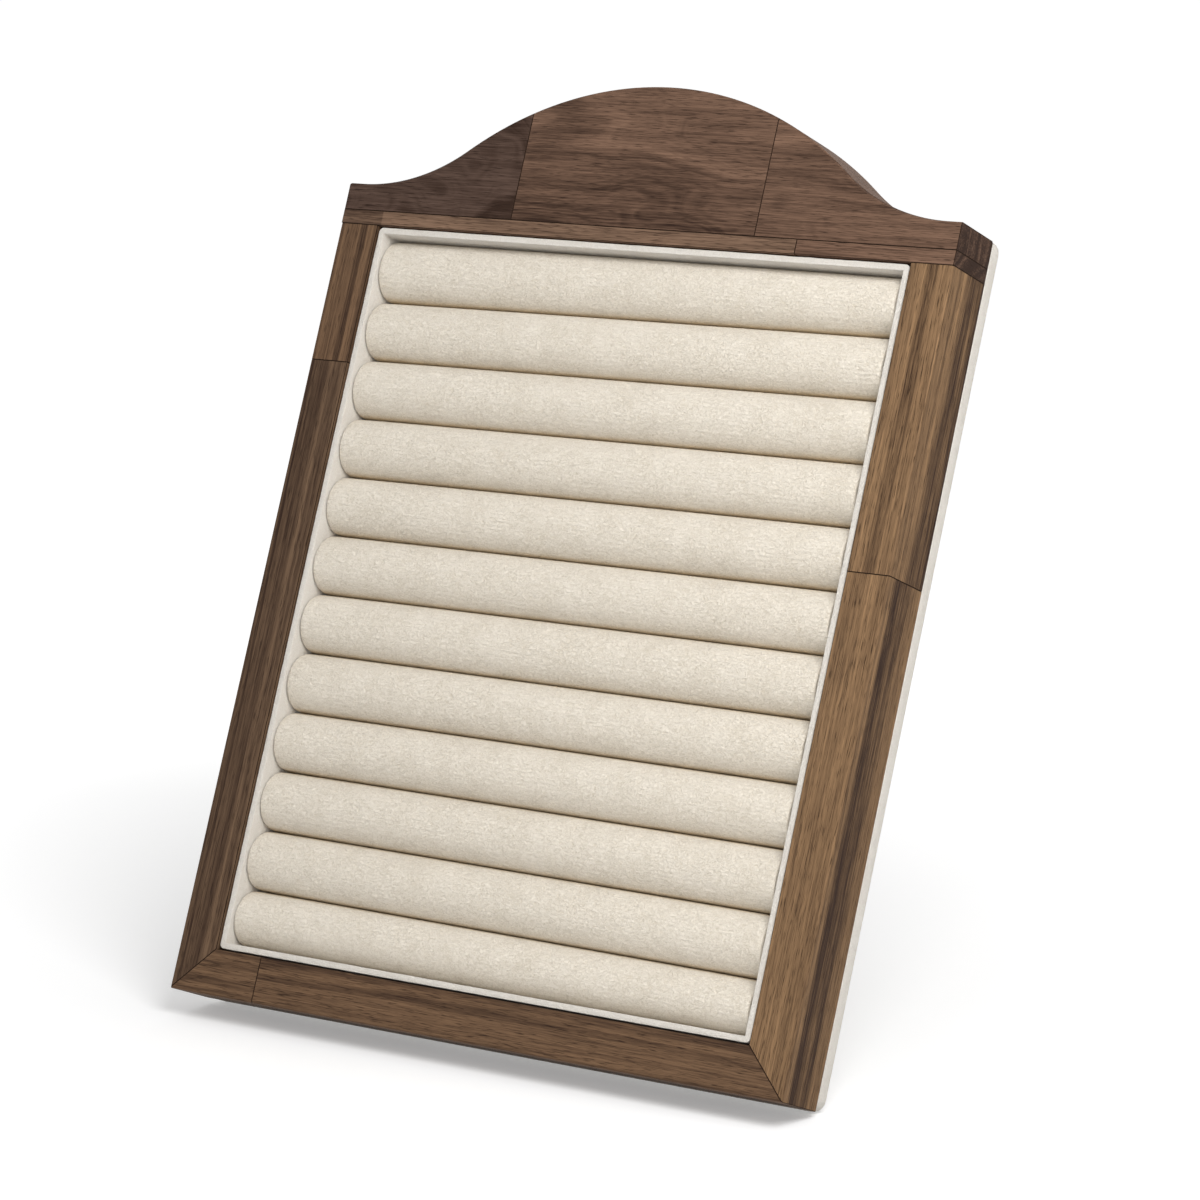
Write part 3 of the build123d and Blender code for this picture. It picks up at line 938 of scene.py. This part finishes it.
class RINGBOARD_OT_rolls(bpy.types.Operator):
    """Twelve foam ring rolls under nap fabric, filled out by a cloth simulation"""

    bl_idname = "ringboard.rolls"
    bl_label = "Ring Rolls"

    def blank(self, sizes, low, high):
        """One roll: flat base and sides, half-round front, softened ends."""
        ease = Vector((sizes.roll_ease,) * 3)
        low, high = low + ease, high - ease
        high.y += sizes.roll_ease
        piece = slab("roll_blank", low, high)
        radius = (high.z - low.z) / 2

        def front_edge(start, end):
            return along(0)(start, end) and start.y < low.y + TOUCH

        def end_edge(start, end):
            at_end = min(start.x - low.x, high.x - start.x) < TOUCH
            return abs(start.x - end.x) < TOUCH and at_end

        edit(piece)
        choose_edges(piece, front_edge)
        bpy.ops.mesh.bevel(
            offset=radius - 0.02 * MM,
            segments=ROLL_CREST_SEGMENTS,
            affect="EDGES",
            clamp_overlap=False,
        )
        bpy.ops.mesh.select_all(action="SELECT")
        bpy.ops.mesh.remove_doubles(threshold=0.06 * MM)
        choose_edges(piece, along(0, LONG_EDGE))
        bpy.ops.mesh.subdivide(number_cuts=ROLL_CUTS_ACROSS)
        choose_edges(piece, along(1, 4 * MM))
        bpy.ops.mesh.subdivide(number_cuts=ROLL_CUTS_DEEP)
        choose_edges(piece, end_edge)
        bpy.ops.mesh.bevel(offset=sizes.roll_end_radius, segments=2, affect="EDGES")
        choose_faces(piece, lambda normal: abs(normal.x) > 0.999)
        for width in ROLL_END_RINGS:
            bpy.ops.mesh.inset(thickness=width, depth=0)
        done()
        return piece

    def fill_out(self, pieces, sizes):
        """Blows each roll up a little against its base, more in some places than in others."""
        starts = {}
        for number, piece in enumerate(pieces):
            starts[piece.name] = [vertex.co.copy() for vertex in piece.data.vertices]
            base = max(vertex.co.y for vertex in piece.data.vertices)
            pin = piece.vertex_groups.new(name="base")
            fullness = piece.vertex_groups.new(name="fullness")
            for vertex in piece.data.vertices:
                spot = vertex.co / FULLNESS_SPREAD + Vector((0, 0, 9.1 * number))
                fullness.add([vertex.index], 0.5 + 0.5 * noise.noise(spot), "REPLACE")
                if vertex.co.y > base - TOUCH:
                    pin.add([vertex.index], 1, "REPLACE")
            modifier = piece.modifiers.new("Cloth", "CLOTH")
            cloth = modifier.settings
            cloth.quality = 4
            cloth.mass = CLOTH_MASS
            cloth.use_pressure = True
            cloth.uniform_pressure_force = CLOTH_PRESSURE
            cloth.vertex_group_pressure = "fullness"
            cloth.vertex_group_mass = "base"
            cloth.effector_weights.gravity = 0
            modifier.collision_settings.use_collision = False
            modifier.point_cache.frame_start = 1
            modifier.point_cache.frame_end = CLOTH_FRAMES
        for step in range(1, CLOTH_FRAMES + 1):
            bpy.context.scene.frame_set(step)
        for piece in pieces:
            pick(piece)
            bpy.ops.object.modifier_apply(modifier="Cloth")
            for vertex, start in zip(piece.data.vertices, starts[piece.name]):
                move = vertex.co - start
                if move.length > sizes.roll_swell:
                    vertex.co = start + move * (sizes.roll_swell / move.length)
        bpy.context.scene.frame_set(1)

    def let_settle(self, pieces, sizes, low, high):
        """Lets the rolls sit unevenly in the tray, and squeezes those at its two ends."""
        lower_left, lower_right, upper_left, upper_right = sizes.roll_settling
        pitch = (high.z - low.z) / len(pieces)
        for piece in pieces:
            for vertex in piece.data.vertices:
                across = (vertex.co.x - low.x) / (high.x - low.x)
                up = (vertex.co.z - low.z) / (high.z - low.z)
                free = min(1, (vertex.co.z - low.z) / pitch, (high.z - vertex.co.z) / pitch)
                bottom = lower_left + (lower_right - lower_left) * across
                top = upper_left + (upper_right - upper_left) * across
                vertex.co.z -= max(free, 0) * (bottom + (top - bottom) * up)

    def execute(self, context):
        sizes = context.scene.board_sizes
        colours = context.scene.board_colours
        boxes = {number: box_on(BOARD, f"roll_cover_{number}") for number in ROLLS}
        first_low, first_high = boxes[ROLLS[0]]
        blank = self.blank(sizes, first_low, first_high)
        pieces = []
        for number in ROLLS:
            pick(blank)
            bpy.ops.object.duplicate()
            piece = context.active_object
            piece.name = piece.data.name = f"ring_roll_{number}"
            edit(piece)
            bpy.ops.mesh.select_all(action="SELECT")
            bpy.ops.transform.translate(value=boxes[number][0] - first_low)
            done()
            pieces.append(piece)
        bpy.data.objects.remove(blank)
        self.fill_out(pieces, sizes)
        low, high = corners([corner for box in boxes.values() for corner in box])
        self.let_settle(pieces, sizes, low, high)
        cloth = fabric_material("roll_nap", colours.roll_tone, colours.roll_shade, **ROLL_CLOTH)
        for piece, number in zip(pieces, ROLLS):
            shape(piece, "SUBSURF", levels=1, render_levels=1)
            smooth(piece, 60)
            covers = (f"roll_cover_{number}", f"roll_foam_{number}")
            settle(piece, BOARD, cloth, "roll_fabric", "board", *covers)
        return {"FINISHED"}


class RINGBOARD_OT_back(bpy.types.Operator):
    """The fabric skin of the back panel"""

    bl_idname = "ringboard.back"
    bl_label = "Back Panel Skin"

    def execute(self, context):
        sizes = context.scene.board_sizes
        colours = context.scene.board_colours
        low, high = box_on(BOARD, "back_cover")
        piece = slab("back_skin", low, high)
        edit(piece)
        choose_edges(piece, along(1))
        bpy.ops.mesh.bevel(offset=sizes.panel_corner, segments=6, affect="EDGES")
        choose_edges(piece, lambda start, end: abs(start.y - end.y) < TOUCH)
        bpy.ops.mesh.bevel(offset=sizes.panel_edge, segments=4, affect="EDGES")
        done()
        shape(piece, "SOLIDIFY", thickness=sizes.skin, offset=-1)
        smooth(piece)
        cloth = fabric_material("tray_nap", colours.tray_tone, colours.tray_shade, **TRAY_CLOTH)
        settle(piece, BOARD, cloth, "tray_fabric", "board", "back_cover")
        return {"FINISHED"}


class RINGBOARD_OT_strut(bpy.types.Operator):
    """The fabric skin of the easel strut, tapered and cut level at its foot"""

    bl_idname = "ringboard.strut"
    bl_label = "Strut Skin"

    def execute(self, context):
        sizes = context.scene.board_sizes
        colours = context.scene.board_colours
        low, high = box_on(STRUT, "strut_cover")
        foot = low.z - sizes.strut_spare
        low.z = -sizes.strut_length

        def top_corner(start, end):
            return along(1)(start, end) and start.z > high.z - TOUCH

        def outline(start, end):
            above_foot = max(start.z, end.z) > low.z + TOUCH
            return abs(start.y - end.y) < TOUCH and above_foot

        piece = slab("strut_skin", low, high)
        edit(piece)
        choose_faces(piece, lambda normal: normal.z > 0.9)
        bpy.ops.transform.resize(value=(sizes.strut_top / (high.x - low.x), 1, 1))
        choose_faces(piece, lambda normal: normal.z < -0.9)
        bpy.ops.mesh.extrude_region_move(
            TRANSFORM_OT_translate={"value": (0, 0, foot - low.z)}
        )
        choose_edges(piece, top_corner)
        bpy.ops.mesh.bevel(offset=sizes.strut_corner, segments=6, affect="EDGES")
        choose_edges(piece, outline)
        bpy.ops.mesh.bevel(offset=sizes.strut_edge, segments=3, affect="EDGES")
        done()
        pick(piece)
        piece.matrix_world = STRUT
        bpy.ops.object.transform_apply(location=True, rotation=True, scale=True)
        edit(piece)
        bpy.ops.mesh.select_all(action="SELECT")
        bpy.ops.mesh.bisect(
            plane_co=(0, 0, 0), plane_no=(0, 0, 1), use_fill=True, clear_inner=True
        )
        done()
        shape(piece, "SOLIDIFY", thickness=sizes.skin, offset=-1)
        smooth(piece)
        cloth = fabric_material(
            "strut_nap", colours.tray_tone, colours.tray_shade, place=STRUT, **TRAY_CLOTH
        )
        settle(piece, Matrix.Identity(4), cloth, "tray_fabric", "strut", "strut_cover")
        return {"FINISHED"}


class RINGBOARD_OT_cores(bpy.types.Operator):
    """Finishes for the boards and joinery inside"""

    bl_idname = "ringboard.cores"
    bl_label = "Boards and Joinery"

    def execute(self, context):
        fibreboard = plain_material(
            "fibreboard", (0.32, 0.21, 0.12), (0.42, 0.29, 0.18), 1.6, 0.85
        )
        refinish(fibreboard, "back_panel", "strut_board", "tray_base")
        greyboard = plain_material(
            "greyboard", (0.36, 0.34, 0.31), (0.50, 0.47, 0.43), 2.2, 0.9
        )
        walls = [f"tray_wall_{side}" for side in ("top", "bottom", "left", "right")]
        refinish(greyboard, *walls)
        beech = plain_material("beech", (0.55, 0.36, 0.22), (0.68, 0.48, 0.31), 0.8, 0.6)
        refinish(beech, "crown_dowels")
        return {"FINISHED"}


class RINGBOARD_OT_hinge(bpy.types.Operator):
    """Steel finish for the stop hinge, its rivets and the mitre nails"""

    bl_idname = "ringboard.hinge"
    bl_label = "Hinge Finish"

    def execute(self, context):
        steel = context.scene.board_colours.steel
        darker = [0.75 * value for value in steel]
        brushed = plain_material("hinge_steel", darker, steel, 1.4, 0.34, metal=1.0)
        refinish(brushed, "hinge_fixed_leaf", "hinge_moving_leaf", "hinge_pin")
        bright = plain_material("rivet_steel", darker, steel, 2.4, 0.26, metal=1.0)
        refinish(bright, "panel_rivets", "strut_rivets", "mitre_v_nails")
        return {"FINISHED"}


def directly_seen(tree, across, up):
    """1 for rays from the camera or a reflection, and 0 for those that light the board."""
    rays = node(tree, "ShaderNodeLightPath", (across, up)).outputs
    return maths(
        tree, "ADD", rays["Is Camera Ray"], rays["Is Glossy Ray"], (across + 200, up), True
    )


class RINGBOARD_OT_studio(bpy.types.Operator):
    """White floor, soft lamps, even sky and the camera"""

    bl_idname = "ringboard.studio"
    bl_label = "Studio"

    def lamp(self, name, place, target, size, power):
        pick()
        bpy.ops.object.light_add(type="AREA", location=place)
        lamp = bpy.context.active_object
        lamp.name = lamp.data.name = name
        lamp.data.shape = "DISK"
        lamp.data.size = size
        lamp.data.energy = power
        facing = Vector(target) - Vector(place)
        lamp.rotation_euler = facing.to_track_quat("-Z", "Y").to_euler()

    def floor_paper(self, studio):
        """Pale paper that is seen whiter away from the board, and keeps the shadow."""
        material = bpy.data.materials.new("floor_paper")
        material.use_nodes = True
        tree = material.node_tree
        tree.nodes.clear()
        inputs = {"Color": (*studio.floor_tone, 1)}
        paper = node(tree, "ShaderNodeBsdfDiffuse", (-400, 100), inputs)
        where = node(tree, "ShaderNodeTexCoord", (-1200, -400)).outputs["Object"]
        away = distance(tree, where, (-1000, -400))
        near, far = studio.floor_lift_reach
        lift = ramp(tree, away, near, far, (-800, -400), *studio.floor_lift)
        seen = directly_seen(tree, -800, -100)
        strength = maths(tree, "MULTIPLY", seen, lift, (-500, -200))
        inputs = {"Color": (1, 1, 1, 1), "Strength": strength}
        glow = node(tree, "ShaderNodeEmission", (-400, -100), inputs)
        inputs = {0: paper.outputs[0], 1: glow.outputs[0]}
        both = node(tree, "ShaderNodeAddShader", (-200, 0), inputs)
        node(tree, "ShaderNodeOutputMaterial", (0, 0), {"Surface": both.outputs[0]})
        return material

    def execute(self, context):
        scene = context.scene
        studio = scene.board_studio
        pick()
        bpy.ops.mesh.primitive_plane_add(
            size=studio.floor_size, location=(0, 0, -studio.floor_gap)
        )
        floor = context.active_object
        floor.name = floor.data.name = "floor"
        floor.data.materials.append(self.floor_paper(studio))

        world = bpy.data.worlds.new("white_studio")
        scene.world = world
        world.use_nodes = True
        tree = world.node_tree
        background = tree.nodes["Background"]
        background.inputs["Color"].default_value = (1, 1, 1, 1)
        seen = directly_seen(tree, -900, 0)
        strength = ramp(tree, seen, 0.0, 1.0, (-400, 0), low=studio.sky)
        tree.links.new(strength, background.inputs["Strength"])

        target = studio.lamp_target
        self.lamp("key_lamp", studio.key_place, target, studio.key_size, studio.key_power)
        self.lamp("fill_lamp", studio.fill_place, target, studio.fill_size, studio.fill_power)

        pick()
        bpy.ops.object.camera_add(location=studio.camera_place)
        camera = context.active_object
        camera.name = "camera"
        look = Vector(studio.camera_look).to_track_quat("-Z", "Y")
        camera.rotation_euler = (look @ Quaternion((0, 0, 1), studio.camera_roll)).to_euler()
        camera.data.lens = studio.lens
        camera.data.sensor_width = 36
        scene.camera = camera
        scene.view_settings.view_transform = "Standard"
        return {"FINISHED"}


OPERATORS = (
    RINGBOARD_OT_frame,
    RINGBOARD_OT_tray,
    RINGBOARD_OT_rolls,
    RINGBOARD_OT_back,
    RINGBOARD_OT_strut,
    RINGBOARD_OT_cores,
    RINGBOARD_OT_hinge,
    RINGBOARD_OT_studio,
)
GROUPS = {
    "board_sizes": BoardSizes,
    "board_colours": BoardColours,
    "board_studio": StudioSetup,
}


class RINGBOARD_PT_panel(bpy.types.Panel):
    """Every operator, and every size, colour and studio value"""

    bl_idname = "RINGBOARD_PT_panel"
    bl_label = "Ring Display Board"
    bl_space_type = "VIEW_3D"
    bl_region_type = "UI"
    bl_category = "Ring Board"

    def draw(self, context):
        layout = self.layout
        for operator in OPERATORS:
            layout.operator(operator.bl_idname)
        for name in GROUPS:
            group = getattr(context.scene, name)
            box = layout.box()
            for value in group.__annotations__:
                box.prop(group, value)


def register():
    for name, group in GROUPS.items():
        bpy.utils.register_class(group)
        setattr(bpy.types.Scene, name, bpy.props.PointerProperty(type=group))
    for operator in OPERATORS:
        bpy.utils.register_class(operator)
    bpy.utils.register_class(RINGBOARD_PT_panel)


def unregister():
    bpy.utils.unregister_class(RINGBOARD_PT_panel)
    for operator in reversed(OPERATORS):
        bpy.utils.unregister_class(operator)
    for name, group in GROUPS.items():
        delattr(bpy.types.Scene, name)
        bpy.utils.unregister_class(group)


def main():
    register()
    bpy.ops.ringboard.frame()
    bpy.ops.ringboard.tray()
    bpy.ops.ringboard.rolls()
    bpy.ops.ringboard.back()
    bpy.ops.ringboard.strut()
    bpy.ops.ringboard.cores()
    bpy.ops.ringboard.hinge()
    bpy.ops.ringboard.studio()


if __name__ == "__main__":
    main()
